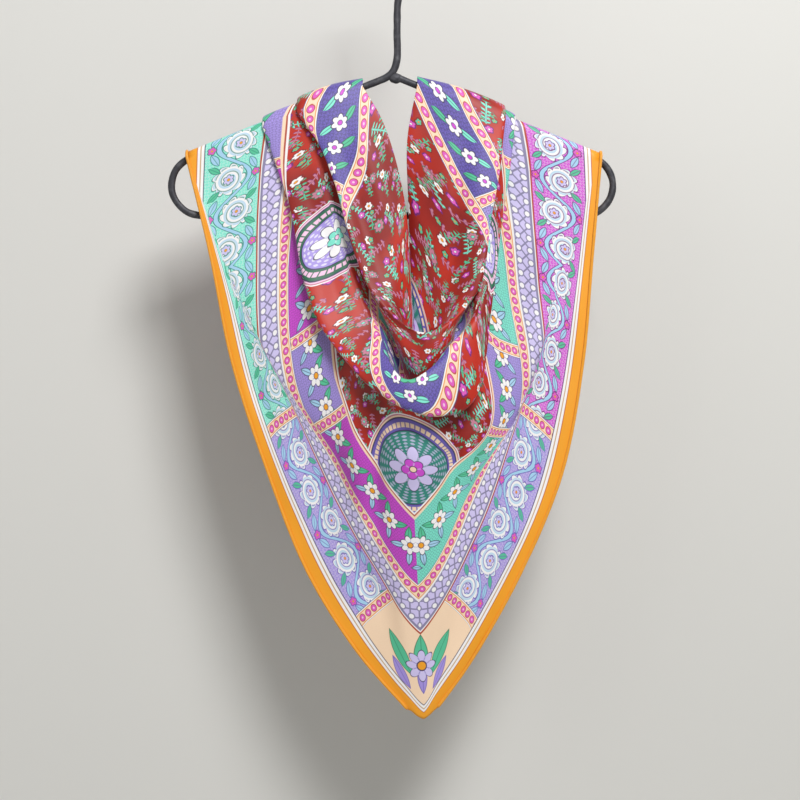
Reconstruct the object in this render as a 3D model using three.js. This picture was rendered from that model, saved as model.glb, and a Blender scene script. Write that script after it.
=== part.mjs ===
// A square silk scarf, folded on its diagonal and draped over the arms of a forged iron hanger.
// Millimetres, -Y to the front, +Z up. Left and right are as seen from the front, with +X to the
// right. The origin is the underside of the hook's crook, where a rail carries it.
import * as THREE from "three";

// ---- Hanger sizes ------------------------------------------------------------------------------
const ROD = 3.2; // radius of the forged rod
const ROD_SIDES = 10;
const CROOK = 22; // radius of the crook's centre line
const SHOULDER_Z = -127; // height of the point where the two arms and the hook meet
const ARM_SLOPE = 0.404; // the arms fall this much for each millimetre outwards
const END_RADIUS = 27; // bend at each end of the triangle
const END_X = 171.5; // centre of that bend
const END_Z = SHOULDER_Z - 99;
const BAR_GAP = 1.2; // between the bottom bar and each end's bend
const BEND_STEPS = 8;
const STEM_FROM = 14; // the hook leaves the left arm this far out
const RIGHT_ARM_FROM = 6.5; // the right arm starts here, clear of the hook's bend
const CROOK_TURN = (215 / 180) * Math.PI;
const CROOK_STEPS = 8;
const HOOK_STEPS = 44;
const BEAD = 2.6; // weld bead under the joint
const BEAD_X = 1.5;
const BEAD_Z = -6;
const BEAD_SIDES = 12;
const JOINT_GAP = 0.3; // left between two solids that touch

// The hook's route from the left arm to its crook: x, and the height above the shoulder point.
const STEM_ROUTE = [
  { x: -6, above: -2.2 },
  { x: 0.5, above: 3.6 },
  { x: 4, above: 13 },
  { x: 4.5, above: 27 },
  { x: 4.5, above: 48 },
  { x: 5.5, above: 68 },
  { x: 13.5, above: 86 },
];

// ---- Scarf sizes -------------------------------------------------------------------------------
const WALL = 1.1; // thickness of the folded double cloth
const ARM_SLACK = 1.2; // the innermost layer rides this far off the rod
const PLEAT_STEP = 1.9; // distance between the layers that lie on an arm
const HEM_ROLL = 1.3; // radius of the rolled hem
const SPAN_STEPS = 5; // columns between two stations of a fold line
const FOLD_STEPS = 2; // rows between two fold lines
const HEM_SIDES = 6;
const HEM_START = 2.5; // a hem's end stands this far from the piece above it
const TAIL_DROP = 392; // how far the tails' corners hang below the shoulder point
const TAIL_SHARE = 0.96; // the tails stop short of the corner, where their width is a hem's
const TAIL_BACK = 6; // the tails swing back this far towards their corners
const TAIL_WAVE = 3; // depth of their soft folds
const TAIL_WAVES = 3;
const SADDLE_GAP = 0.6; // between a tail's start and the front's edge on the arm
const SADDLE_STEPS = 6;
const TAIL_STEPS = 8;

const armZ = (x) => SHOULDER_Z - ARM_SLOPE * Math.abs(x);
const layerOffset = (layer) => ROD + ARM_SLACK + WALL / 2 + layer * PLEAT_STEP;

// ---- Fold lines --------------------------------------------------------------------------------
// Each row is a line of the cloth that runs from the left arm (or hem), down to its lowest point, and
// up to the right arm (or hem). A station is [x, z below the shoulder point, y]. A line that starts
// on an arm gives the x there and the layer that it lies in, as [x, layer].
const FOLDS = [
  { name: "neck", left: [-27, 1.2], leftUpper: [-8, -46, -16], leftLower: [11, -116, -21],
    low: [18, -224, -15], rightLower: [15, -122, -9], rightUpper: [14, -60, -12], right: [23, 1.2] },
  { name: "pocket", left: [-56, 4], leftUpper: [-34, -60, -19], leftLower: [2, -160, -26],
    low: [28, -276, -30], rightLower: [54, -158, -24], rightUpper: [58, -74, -18], right: [62, 4] },
  { name: "inner_lip", left: [-85, 3.5], leftUpper: [-60, -74, -21], leftLower: [-17, -198, -40],
    low: [30, -233, -52], rightLower: [70, -204, -42], rightUpper: [88, -134, -29], right: [101, 3.5] },
  { name: "inner_face", left: [-69, 3], leftUpper: [-50, -82, -15], leftLower: [-10, -211, -31],
    low: [26, -264, -57], rightLower: [63, -219, -35], rightUpper: [81, -140, -20], right: [86, 3] },
  { name: "valley", left: [-53, 2.5], leftUpper: [-38, -90, -12.5], leftLower: [-2, -224, -22],
    low: [24, -308, -44], rightLower: [56, -235, -27], rightUpper: [70, -146, -14], right: [72, 2.5] },
  { name: "outer_lip", left: [-84, 2], leftUpper: [-62, -96, -12], leftLower: [-18, -226, -33],
    low: [14, -274, -71], rightLower: [68, -225, -49], rightUpper: [84, -162, -20], right: [92, 2] },
  { name: "outer_edge", left: [-116, 1.5], leftUpper: [-94, -110, -11.5], leftLower: [-60, -232, -37],
    low: [16, -301, -74], rightLower: [66, -298, -62], rightUpper: [93, -166, -21], right: [110, 1.5] },
  { name: "tuck", left: [-88, 0.5], leftUpper: [-74, -108, -8], leftLower: [-38, -220, -25],
    low: [18, -295, -66], rightLower: [54, -284, -50], rightUpper: [71, -164, -13], right: [86, 0.5] },
  { name: "yoke", left: [-124, 0], leftUpper: [-104, -136, -6], leftLower: [-58, -262, -26],
    low: [18, -332, -58], rightLower: [78, -318, -38], rightUpper: [102, -184, -9], right: [130, 0] },
  { name: "corner", left: [-184, 0], leftUpper: [-146, -176, -7], leftLower: [-84, -292, -18],
    low: [19, -366, -50], rightLower: [104, -316, -22], rightUpper: [150, -182, -8], right: [187, 0] },
  { name: "drape_1", left: [-162, -165, -7], leftUpper: [-118, -252, -10], leftLower: [-58, -342, -22],
    low: [20, -402, -46], rightLower: [84, -350, -28], rightUpper: [140, -254, -10], right: [179, -165, -7] },
  { name: "drape_2", left: [-143, -258, -9], leftUpper: [-98, -326, -13], leftLower: [-42, -394, -24],
    low: [22, -440, -42], rightLower: [74, -402, -30], rightUpper: [128, -330, -15], right: [170, -261, -10] },
  { name: "drape_3", left: [-112, -353, -12], leftUpper: [-72, -400, -18], leftLower: [-24, -446, -26],
    low: [24, -478, -38], rightLower: [68, -450, -30], rightUpper: [112, -404, -20], right: [151, -358, -14] },
  { name: "drape_4", left: [-75, -445, -18], leftUpper: [-42, -472, -22], leftLower: [-6, -500, -28],
    low: [26, -518, -34], rightLower: [54, -500, -29], rightUpper: [82, -476, -24], right: [112, -450, -19] },
  { name: "drape_5", left: [-30, -516, -24], leftUpper: [-10, -530, -26], leftLower: [10, -543, -29],
    low: [28, -552, -31], rightLower: [42, -542, -29], rightUpper: [56, -533, -27], right: [70, -523, -24] },
  { name: "tip", left: [14, -566, -28], leftUpper: [18, -568, -28], leftLower: [23, -572, -29],
    low: [28, -574, -29], rightLower: [32, -571.5, -29], rightUpper: [36, -568, -28], right: [40, -564.5, -28] },
];

// Where the cloth turns back on itself. The turn's two sides leave the fold line at these angles,
// in degrees, from the side towards the neck round to the back: on the arms and at the low point.
const TURNS = [
  { name: "inner_lip", before: [-45, 135], after: [45, 225], radius: [1.35, 6] },
  { name: "valley", before: [225, 405], after: [135, 315], radius: [1.35, 3] },
  { name: "outer_lip", before: [0, 135], after: [180, 225], radius: [2, 5] },
  { name: "outer_edge", before: [-45, -45], after: [45, 45], radius: [1.35, 3.2] },
  { name: "tuck", before: [225, 225], after: [135, 135], radius: [1.35, 2.6] },
];

const STATIONS = ["left", "leftUpper", "leftLower", "low", "rightLower", "rightUpper", "right"];

const smooth = (points) => new THREE.CatmullRomCurve3(points, false, "centripetal");

// The point of one station, in the part's frame.
function stationPoint(station) {
  if (station.length === 2) {
    const [x, layer] = station;
    return new THREE.Vector3(x, -layerOffset(layer), armZ(x));
  }
  const [x, z, y] = station;
  return new THREE.Vector3(x, y, SHOULDER_Z + z);
}

// A fold line as evenly numbered points from left to right.
function foldLine(fold) {
  const curve = smooth(STATIONS.map((key) => stationPoint(fold[key])));
  const steps = (STATIONS.length - 1) * SPAN_STEPS;
  return Array.from({ length: steps + 1 }, (_, i) => curve.getPoint(i / steps));
}

// How far a turn has opened at a column: 0 on an arm, 1 at the low point, most of it near the low point.
function turnShare(column, columns) {
  const share = 1 - Math.abs((2 * column) / (columns - 1) - 1);
  return share ** 3;
}

// The line beside a fold line, on one side of its turn.
function besideFold(line, angles, radii) {
  return line.map((point, i) => {
    const share = turnShare(i, line.length);
    const angle = THREE.MathUtils.degToRad(THREE.MathUtils.lerp(angles[0], angles[1], share));
    const radius = THREE.MathUtils.lerp(radii[0], radii[1], share);
    const along = line[Math.min(i + 1, line.length - 1)].clone().sub(line[Math.max(i - 1, 0)]);
    const towardsNeck = new THREE.Vector3(-along.z, 0, along.x).normalize();
    const towardsBack = new THREE.Vector3(0, 1, 0);
    return point.clone()
      .addScaledVector(towardsNeck, radius * Math.cos(angle))
      .addScaledVector(towardsBack, radius * Math.sin(angle));
  });
}

// All lines of the front, from the neck to the tip, with each turn's two sides put in.
const lines = [];
for (const fold of FOLDS) {
  const line = foldLine(fold);
  const turn = TURNS.find((t) => t.name === fold.name);
  if (turn) {
    lines.push({ name: fold.name + "_before", points: besideFold(line, turn.before, turn.radius) });
    lines.push({ name: fold.name, points: line });
    lines.push({ name: fold.name + "_after", points: besideFold(line, turn.after, turn.radius) });
  } else {
    lines.push({ name: fold.name, points: line });
  }
}
const lineIndex = (name) => lines.findIndex((line) => line.name === name);

// The whole front as a grid of points, smooth across the lines. A side edge turns sharply where it
// leaves the arm and becomes a hem, so the curves across stop and start again at the corner line.
function clothGrid() {
  const corner = lineIndex("corner");
  const across = (part) => lines[0].points.map((_, c) => smooth(part.map((line) => line.points[c])));
  const upper = across(lines.slice(0, corner + 1));
  const lower = across(lines.slice(corner));
  return Array.from({ length: (lines.length - 1) * FOLD_STEPS + 1 }, (_, r) => {
    const place = r / FOLD_STEPS;
    return place <= corner
      ? upper.map((curve) => curve.getPoint(place / corner))
      : lower.map((curve) => curve.getPoint((place - corner) / (lines.length - 1 - corner)));
  });
}

// The direction square to a grid at each of its points, towards the back.
function gridNormals(grid) {
  const pick = (r, c) => {
    const row = grid[THREE.MathUtils.clamp(r, 0, grid.length - 1)];
    return row[THREE.MathUtils.clamp(c, 0, row.length - 1)];
  };
  return grid.map((row, r) =>
    row.map((_, c) => {
      const down = pick(r + 1, c).clone().sub(pick(r - 1, c));
      const right = pick(r, c + 1).clone().sub(pick(r, c - 1));
      return right.cross(down).normalize();
    }));
}

// One stretch of a grid between two of its rows, pulled back by a gap where it meets the next.
function stretch(grid, normals, from, to, gapFrom, gapTo) {
  const points = grid.slice(from, to + 1);
  const pull = (edge, inner, gap) =>
    edge.map((p, i) => (gap > 0 ? p.clone().lerp(inner[i], gap / p.distanceTo(inner[i])) : p));
  points[0] = pull(points[0], points[1], gapFrom);
  points[to - from] = pull(points[to - from], points[to - from - 1], gapTo);
  return { points, normals: normals.slice(from, to + 1) };
}

// ---- Solids ------------------------------------------------------------------------------------
// A closed wall of even thickness round a stretch of cloth.
function clothWall({ points, normals }, thickness) {
  const rows = points.length;
  const columns = points[0].length;
  const vertices = [];
  for (const side of [0.5, -0.5]) {
    points.forEach((row, r) => row.forEach((p, c) => {
      const v = p.clone().addScaledVector(normals[r][c], side * thickness);
      vertices.push(v.x, v.y, v.z);
    }));
  }
  const outer = (r, c) => r * columns + c;
  const inner = (r, c) => rows * columns + r * columns + c;
  const faces = [];
  const quad = (a, b, c, d) => faces.push(a, b, c, a, c, d);
  for (let r = 0; r < rows - 1; r++) {
    for (let c = 0; c < columns - 1; c++) {
      quad(outer(r, c), outer(r, c + 1), outer(r + 1, c + 1), outer(r + 1, c));
      quad(inner(r, c), inner(r + 1, c), inner(r + 1, c + 1), inner(r, c + 1));
    }
    quad(outer(r, 0), outer(r + 1, 0), inner(r + 1, 0), inner(r, 0));
    quad(outer(r + 1, columns - 1), outer(r, columns - 1), inner(r, columns - 1), inner(r + 1, columns - 1));
  }
  for (let c = 0; c < columns - 1; c++) {
    quad(outer(0, c + 1), outer(0, c), inner(0, c), inner(0, c + 1));
    quad(outer(rows - 1, c), outer(rows - 1, c + 1), inner(rows - 1, c + 1), inner(rows - 1, c));
  }
  const geometry = new THREE.BufferGeometry();
  geometry.setAttribute("position", new THREE.Float32BufferAttribute(vertices, 3));
  geometry.setIndex(faces);
  return geometry;
}

// The part of a direction that stands square to another, at unit length.
function sideways(direction, along) {
  return direction.clone().addScaledVector(along, -direction.dot(along) / along.lengthSq()).normalize();
}

// A rolled hem: a ring of points round each point of a path. It starts a little way along, clear of
// the piece above.
function hemRoll(path) {
  const points = path.slice();
  points[0] = path[0].clone().lerp(path[1], HEM_START / path[0].distanceTo(path[1]));
  const last = points.length - 1;
  const vertices = [];
  points.forEach((p, i) => {
    const along = points[Math.min(i + 1, last)].clone().sub(points[Math.max(i - 1, 0)]).normalize();
    const side = sideways(new THREE.Vector3(1, 0, 0), along);
    const forward = side.clone().cross(along);
    for (let k = 0; k < HEM_SIDES; k++) {
      const angle = (k / HEM_SIDES) * 2 * Math.PI;
      const v = p.clone().addScaledVector(side, HEM_ROLL * Math.cos(angle));
      v.addScaledVector(forward, HEM_ROLL * Math.sin(angle));
      vertices.push(v.x, v.y, v.z);
    }
  });
  const faces = [];
  for (let i = 0; i < last; i++) {
    for (let k = 0; k < HEM_SIDES; k++) {
      const next = (k + 1) % HEM_SIDES;
      const [a, b] = [i * HEM_SIDES + k, i * HEM_SIDES + next];
      const [c, d] = [b + HEM_SIDES, a + HEM_SIDES];
      faces.push(a, c, b, a, d, c);
    }
  }
  for (let k = 1; k < HEM_SIDES - 1; k++) {
    faces.push(0, k, k + 1);
    faces.push(last * HEM_SIDES, last * HEM_SIDES + k + 1, last * HEM_SIDES + k);
  }
  const geometry = new THREE.BufferGeometry();
  geometry.setAttribute("position", new THREE.Float32BufferAttribute(vertices, 3));
  geometry.setIndex(faces);
  return geometry;
}

// A round rod along a curve, closed at both ends.
function rodAlong(curve, radius, sides, steps) {
  const section = new THREE.Shape(Array.from({ length: sides }, (_, i) => {
    const angle = (i / sides) * 2 * Math.PI;
    return new THREE.Vector2(radius * Math.cos(angle), radius * Math.sin(angle));
  }));
  return new THREE.ExtrudeGeometry(section, { extrudePath: curve, steps, bevelEnabled: false });
}

const root = new THREE.Group();
const SILK = { color: 0xb08fc8, roughness: 0.5, metalness: 0 };
const MARIGOLD = { color: 0xf2a51f, roughness: 0.5, metalness: 0 };
const IRON = { color: 0x2b2a2c, roughness: 0.6, metalness: 0.6 };
function addMesh(name, geometry, look) {
  const mesh = new THREE.Mesh(geometry, new THREE.MeshStandardMaterial(look));
  mesh.name = name;
  root.add(mesh);
}

// ---- The front: two cowls and the pointed panel ------------------------------------------------
const front = clothGrid();
const frontNormals = gridNormals(front);
const lastRow = front.length - 1;
const rowOf = (name) => lineIndex(name) * FOLD_STEPS;
const HALF_GAP = JOINT_GAP / 2;
const STRETCHES = [
  { name: "cowl_inner", from: 0, to: rowOf("valley"), gapFrom: 0, gapTo: HALF_GAP },
  { name: "cowl_outer", from: rowOf("valley"), to: rowOf("tuck"), gapFrom: HALF_GAP, gapTo: HALF_GAP },
  { name: "front_drape", from: rowOf("tuck"), to: lastRow, gapFrom: HALF_GAP, gapTo: 0 },
];
for (const { name, from, to, gapFrom, gapTo } of STRETCHES) {
  addMesh(name, clothWall(stretch(front, frontNormals, from, to, gapFrom, gapTo), WALL), SILK);
}

// ---- The two tails: over an arm and down behind ------------------------------------------------
// Each tail takes up the front's edge on its arm, pleat for pleat, and narrows to a corner of the
// square, still pleated.
const SIDES = [
  { name: "left", column: 0, outward: -1, cornerX: -98 },
  { name: "right", column: front[0].length - 1, outward: 1, cornerX: 103 },
];

function tailGrid({ column, cornerX }) {
  const ends = lines.slice(0, lineIndex("corner") + 1).map((line) => line.points[column]);
  const first = ends[0].x;
  const last = ends[ends.length - 1].x;
  const over = Array.from({ length: SADDLE_STEPS + 1 }, (_, k) => ends.map((end) => {
    const radius = -end.y;
    const start = SADDLE_GAP / radius;
    const angle = start + (k / SADDLE_STEPS) * (Math.PI - start);
    const rise = radius * Math.hypot(1, ARM_SLOPE) * Math.sin(angle);
    return new THREE.Vector3(end.x, -radius * Math.cos(angle), end.z + rise);
  }));
  const down = Array.from({ length: TAIL_STEPS }, (_, k) => ends.map((end) => {
    const fall = ((k + 1) / TAIL_STEPS) * TAIL_SHARE;
    const share = (end.x - first) / (last - first);
    const wave = TAIL_WAVE * Math.sin(share * TAIL_WAVES * Math.PI) * Math.sin(fall * Math.PI);
    return new THREE.Vector3(
      THREE.MathUtils.lerp(end.x, cornerX, fall),
      -end.y + TAIL_BACK * THREE.MathUtils.smoothstep(fall, 0, 1) + wave,
      THREE.MathUtils.lerp(end.z, SHOULDER_Z - TAIL_DROP, fall),
    );
  }));
  return [...over, ...down];
}

// The outer edge of a grid, moved outwards so that a hem roll lies beside it.
function edgePath(rows, column, inner) {
  const last = rows.length - 1;
  return rows.map((row, r) => {
    const along = rows[Math.min(r + 1, last)][column].clone().sub(rows[Math.max(r - 1, 0)][column]);
    const outward = sideways(row[column].clone().sub(row[inner]), along);
    return row[column].clone().addScaledVector(outward, HEM_ROLL + JOINT_GAP);
  });
}

for (const side of SIDES) {
  const tail = tailGrid(side);
  const reversed = side.name === "left" ? tail.map((row) => row.slice().reverse()) : tail;
  const normals = gridNormals(reversed);
  addMesh(side.name + "_tail", clothWall({ points: reversed, normals }, WALL), SILK);
  const edge = tail[0].length - 1;
  addMesh(side.name + "_tail_hem", hemRoll(edgePath(tail, edge, edge - 1)), MARIGOLD);
  const inner = side.column === 0 ? 1 : side.column - 1;
  const below = front.slice(rowOf("corner"));
  addMesh(side.name + "_front_hem", hemRoll(edgePath(below, side.column, inner)), MARIGOLD);
}

// ---- The hanger --------------------------------------------------------------------------------
const inPlane = (x, z) => new THREE.Vector3(x, 0, z);
const tilt = Math.atan(ARM_SLOPE);
const tangentX = END_X + END_RADIUS * Math.sin(tilt);

for (const side of SIDES) {
  const from = side.name === "left" ? STEM_FROM + JOINT_GAP : RIGHT_ARM_FROM;
  const arm = new THREE.LineCurve3(
    inPlane(side.outward * from, armZ(from)),
    inPlane(side.outward * (tangentX - JOINT_GAP), armZ(tangentX - JOINT_GAP)),
  );
  addMesh(`hanger_${side.name}_arm`, rodAlong(arm, ROD, ROD_SIDES, 1), IRON);
  const bend = Array.from({ length: BEND_STEPS + 1 }, (_, k) => {
    const angle = Math.PI / 2 - tilt - (k / BEND_STEPS) * (Math.PI - tilt);
    return inPlane(
      side.outward * (END_X + END_RADIUS * Math.cos(angle)),
      END_Z + END_RADIUS * Math.sin(angle),
    );
  });
  addMesh(
    `hanger_${side.name}_end`,
    rodAlong(smooth(bend), ROD, ROD_SIDES, BEND_STEPS),
    IRON,
  );
}

const barZ = END_Z - END_RADIUS;
const bar = new THREE.LineCurve3(inPlane(-END_X + BAR_GAP, barZ), inPlane(END_X - BAR_GAP, barZ));
addMesh("hanger_bar", rodAlong(bar, ROD, ROD_SIDES, 1), IRON);

// The hook leaves the left arm in one bend, stands upright, and turns over into the crook.
const crookZ = -ROD - CROOK + 2 * ROD;
const start = inPlane(-STEM_FROM, armZ(STEM_FROM));
const stem = STEM_ROUTE.map(({ x, above }) => inPlane(x, SHOULDER_Z + above));
const crook = Array.from({ length: CROOK_STEPS + 1 }, (_, k) => {
  const angle = (k / CROOK_STEPS) * CROOK_TURN;
  return inPlane(CROOK * Math.cos(angle), crookZ + CROOK * Math.sin(angle));
});
addMesh("hanger_hook", rodAlong(smooth([start, ...stem, ...crook]), ROD, ROD_SIDES, HOOK_STEPS), IRON);

// The bead where the right arm is welded under the bend of the hook.
const bead = new THREE.SphereGeometry(BEAD, BEAD_SIDES, BEAD_SIDES);
bead.translate(BEAD_X, 0, SHOULDER_Z + BEAD_Z);
addMesh("hanger_weld", bead, IRON);

export default root;
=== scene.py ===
"""A printed silk square, folded on its diagonal and draped over a forged iron hanger."""

import math

import bmesh
import bpy
import numpy as np
from bpy.props import FloatProperty, FloatVectorProperty, PointerProperty
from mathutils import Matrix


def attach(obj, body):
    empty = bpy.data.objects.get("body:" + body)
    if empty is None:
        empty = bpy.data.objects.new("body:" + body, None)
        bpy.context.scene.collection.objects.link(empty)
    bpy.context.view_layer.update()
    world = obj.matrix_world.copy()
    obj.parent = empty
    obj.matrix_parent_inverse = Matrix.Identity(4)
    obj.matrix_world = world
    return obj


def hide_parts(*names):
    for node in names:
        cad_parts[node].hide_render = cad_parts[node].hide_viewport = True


bl_info = {
    "name": "Silk square on a forged hanger",
    "version": (1, 0, 0),
    "blender": (4, 5, 0),
    "location": "View3D > Sidebar > Scarf",
    "description": "Builds the draped silk square, its hems and its hanger round the frame",
    "category": "Object",
}

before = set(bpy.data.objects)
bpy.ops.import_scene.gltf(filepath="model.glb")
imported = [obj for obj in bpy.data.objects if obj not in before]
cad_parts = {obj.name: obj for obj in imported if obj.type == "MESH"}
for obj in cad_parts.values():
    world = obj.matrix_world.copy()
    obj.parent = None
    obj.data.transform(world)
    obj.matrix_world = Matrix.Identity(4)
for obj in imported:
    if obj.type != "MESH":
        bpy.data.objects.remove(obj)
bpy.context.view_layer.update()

MM = 0.001
SQUARE = 900.0  # side of the flat square, in millimetres
HALF = SQUARE / 2
HALF_DIAGONAL = HALF * math.sqrt(2)
SILK_NODES = ("cowl_inner", "cowl_outer", "front_drape", "left_tail", "right_tail")
HEM_NODES = ("left_front_hem", "right_front_hem", "left_tail_hem", "right_tail_hem")
HANGER_NODES = (
    "hanger_left_arm", "hanger_right_arm", "hanger_left_end", "hanger_right_end",
    "hanger_bar", "hanger_hook", "hanger_weld",
)

# ---- The hanger's sizes, as the frame has them ---------------------------------------------------
ROD = 3.2
CROOK = 22.0
SHOULDER_Z = -127.0
ARM_SLOPE = 0.404
END_RADIUS = 27.0
END_X = 171.5
END_Z = SHOULDER_Z - 99
STEM_FROM = 14.0
STEM_ROUTE = ((-6, -2.2), (0.5, 3.6), (4, 13), (4.5, 27), (4.5, 48), (5.5, 68), (13.5, 86))
CROOK_TURN = math.radians(215)

# ---- The folds -----------------------------------------------------------------------------------
ARM_SLACK = 1.2
WALL = 1.1
PLEAT_STEP = 1.9
TAILS = ((0, 1, -98.0), (-1, -2, 103.0))  # the edge's column, the next one in, and the corner's X
TAIL_DROP = 392.0
TAIL_SHARE = 0.985
TAIL_BACK = 6.0
TAIL_WAVE = 3.0
TAIL_WAVES = 3

# Each line of the cloth runs from the left arm or hem, down to its lowest point, and up to the
# right arm or hem. A station is (x, z below the shoulder point, y). One on an arm is (x, layer).
FOLDS = (
    ("neck", (-27, 1.2), (-8, -46, -16), (11, -116, -21), (18, -224, -15), (15, -122, -9),
     (14, -60, -12), (23, 1.2)),
    ("pocket", (-56, 4), (-34, -60, -19), (2, -160, -26), (28, -276, -30), (54, -158, -24),
     (58, -74, -18), (62, 4)),
    ("inner_lip", (-85, 3.5), (-60, -74, -21), (-17, -198, -40), (30, -233, -52), (70, -204, -42),
     (88, -134, -29), (101, 3.5)),
    ("inner_face", (-69, 3), (-50, -82, -15), (-10, -211, -31), (26, -264, -57), (63, -219, -35),
     (81, -140, -20), (86, 3)),
    ("valley", (-53, 2.5), (-38, -90, -12.5), (-2, -224, -22), (24, -308, -44), (56, -235, -27),
     (70, -146, -14), (72, 2.5)),
    ("outer_lip", (-84, 2), (-62, -96, -12), (-18, -226, -33), (14, -274, -71), (68, -225, -49),
     (84, -162, -20), (92, 2)),
    ("outer_edge", (-116, 1.5), (-94, -110, -11.5), (-60, -232, -37), (16, -301, -74),
     (66, -298, -62), (93, -166, -21), (110, 1.5)),
    ("tuck", (-88, 0.5), (-74, -108, -8), (-38, -220, -25), (18, -295, -66), (54, -284, -50),
     (71, -164, -13), (86, 0.5)),
    ("yoke", (-124, 0), (-104, -136, -6), (-58, -262, -26), (18, -332, -58), (78, -318, -38),
     (102, -184, -9), (130, 0)),
    ("corner", (-184, 0), (-146, -176, -7), (-84, -292, -18), (19, -366, -50), (104, -316, -22),
     (150, -182, -8), (187, 0)),
    ("drape_1", (-162, -165, -7), (-118, -252, -10), (-58, -342, -22), (20, -402, -46),
     (84, -350, -28), (140, -254, -10), (179, -165, -7)),
    ("drape_2", (-143, -258, -9), (-98, -326, -13), (-42, -394, -24), (22, -440, -42),
     (74, -402, -30), (128, -330, -15), (170, -261, -10)),
    ("drape_3", (-112, -353, -12), (-72, -400, -18), (-24, -446, -26), (24, -478, -38),
     (68, -450, -30), (112, -404, -20), (151, -358, -14)),
    ("drape_4", (-75, -445, -18), (-42, -472, -22), (-6, -500, -28), (26, -518, -34),
     (54, -500, -29), (82, -476, -24), (112, -450, -19)),
    ("drape_5", (-30, -516, -24), (-10, -530, -26), (10, -543, -29), (28, -552, -31),
     (42, -542, -29), (56, -533, -27), (70, -523, -24)),
    ("tip", (14, -566, -28), (18, -568, -28), (23, -572, -29), (28, -574, -29), (32, -571.5, -29),
     (36, -568, -28), (40, -564.5, -28)),
)

# Where the cloth turns back on itself: the angles at which the turn's two sides leave the fold
# line, on the arms and at the low point, and how far off they stand.
TURNS = {
    "inner_lip": ((-45, 135), (45, 225), (1.35, 6)),
    "valley": ((225, 405), (135, 315), (1.35, 3)),
    "outer_lip": ((0, 135), (180, 225), (2, 5)),
    "outer_edge": ((-45, -45), (45, 45), (1.35, 3.2)),
    "tuck": ((225, 225), (135, 135), (1.35, 2.6)),
}

# Where each line lies in the flat square: its distance from the diagonal fold at the middle, and
# the distance along the arm's crossing at the left and right, or the hem's distance from the fold.
CUT = {
    "neck": (0, 0, 0), "pocket": (45, 30, 40), "inner_lip": (90, 60, 85),
    "inner_face": (135, 77, 101), "valley": (185, 95, 117), "outer_lip": (235, 128, 140),
    "outer_edge": (270, 160, 163), "tuck": (300, 195, 191), "yoke": (345, 235, 235),
    "corner": (390, 293, 293), "drape_1": (430, 300, 300), "drape_2": (475, 370, 370),
    "drape_3": (520, 440, 440), "drape_4": (565, 510, 510), "drape_5": (603, 570, 570),
    "tip": (632, 620, 620),
}
CROSSING_START = 225.0  # the arm's crossing leaves the diagonal this far from the middle
CROSSING_FOLD = 233.0  # and meets the hem this far from the diagonal
CROSSING = 293.0  # its length

# Soft creases of the pointed panel: from and to (x, z below the shoulder), width, and height
# towards the front. A negative height is a valley.
CREASES = (
    ((-16, -292), (-14, -404), 7, -5.2),
    ((-34, -296), (-30, -380), 9, 3.2),
    ((-2, -300), (50, -344), 8, -5.4),
    ((8, -330), (22, -372), 16, 4.0),
    ((66, -300), (46, -388), 9, -4.6),
    ((82, -286), (66, -360), 10, 3.4),
    ((-98, -120), (-84, -262), 8, -2.0),
    ((118, -170), (104, -284), 9, -2.4),
    ((134, -150), (128, -262), 10, 1.8),
    ((-128, -190), (-96, -330), 12, 1.6),
    ((-60, -410), (-6, -476), 12, -1.6),
    ((92, -400), (52, -476), 12, -1.8),
    ((6, -446), (14, -540), 8, 1.6),
    ((38, -452), (36, -536), 8, -1.4),
    ((150, -300), (120, -392), 10, -1.4),
    ((-136, -262), (-112, -300), 9, -1.6),
)
# The same for the cloth over the cowls, along their lengths.
COWL_CREASES = (
    ((-46, -70), (-6, -196), 7, -3.4),
    ((-30, -52), (2, -150), 6, 2.2),
    ((64, -60), (52, -170), 8, -3.4),
    ((42, -60), (34, -180), 7, 1.8),
    ((54, -236), (84, -196), 6, -3.6),
    ((-72, -110), (-44, -222), 6, -2.8),
    ((4, -214), (30, -258), 7, -1.8),
)

HEM_OUT = 0.4  # the hem's middle, past the silk's edge, in radii
HEM_OVER = 0.95  # and off its surface
HEM_STEP = 2.2
STITCH_STEP = 3.0
STITCH_OUT = 0.35  # the thread's line, past the hem's middle, in radii
THREAD_SHADE = 0.82

# The stage, in millimetres.
BACKDROP_Y = 125
BACKDROP_REACH = 3000
BACKDROP_FOOT = -2200
BACKDROP_TOP = 2000
FLOOR_Z = -1500

# The studio, in metres: each lamp's name, place, size and power, and where all of them look.
LAMPS = (("key", (0.60, -1.70, 1.24), 0.75, 54.0), ("fill", (-1.7, -1.4, 0.1), 1.4, 5.0))
LAMP_AIM = (0.0, 0.0, -0.45)
SKY_STRENGTH = 0.31
CAMERA_PLACE = (0.007, -1.70, -0.419)

# The lump of the weld: its radii, and its place beside the stem and under the shoulder.
WELD_RADII = (6.2, 4.0, 4.6)
WELD_X = 3.2
WELD_DROP = 2.6

RIPPLES = 14
RIPPLE_LENGTH = (22.0, 80.0)  # shortest and longest wavelength
RIPPLE_HEIGHT = 3.4

COLUMN_STEPS = 24  # columns between two stations
OUTER_STEPS = 8  # rows between two lines, in the layer that shows
INNER_STEPS = 4  # and in the layer behind it
TURN_STEPS = 3  # rows between the lines of a turn
SADDLE_STEPS = 7
TAIL_STEPS = 26


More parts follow.
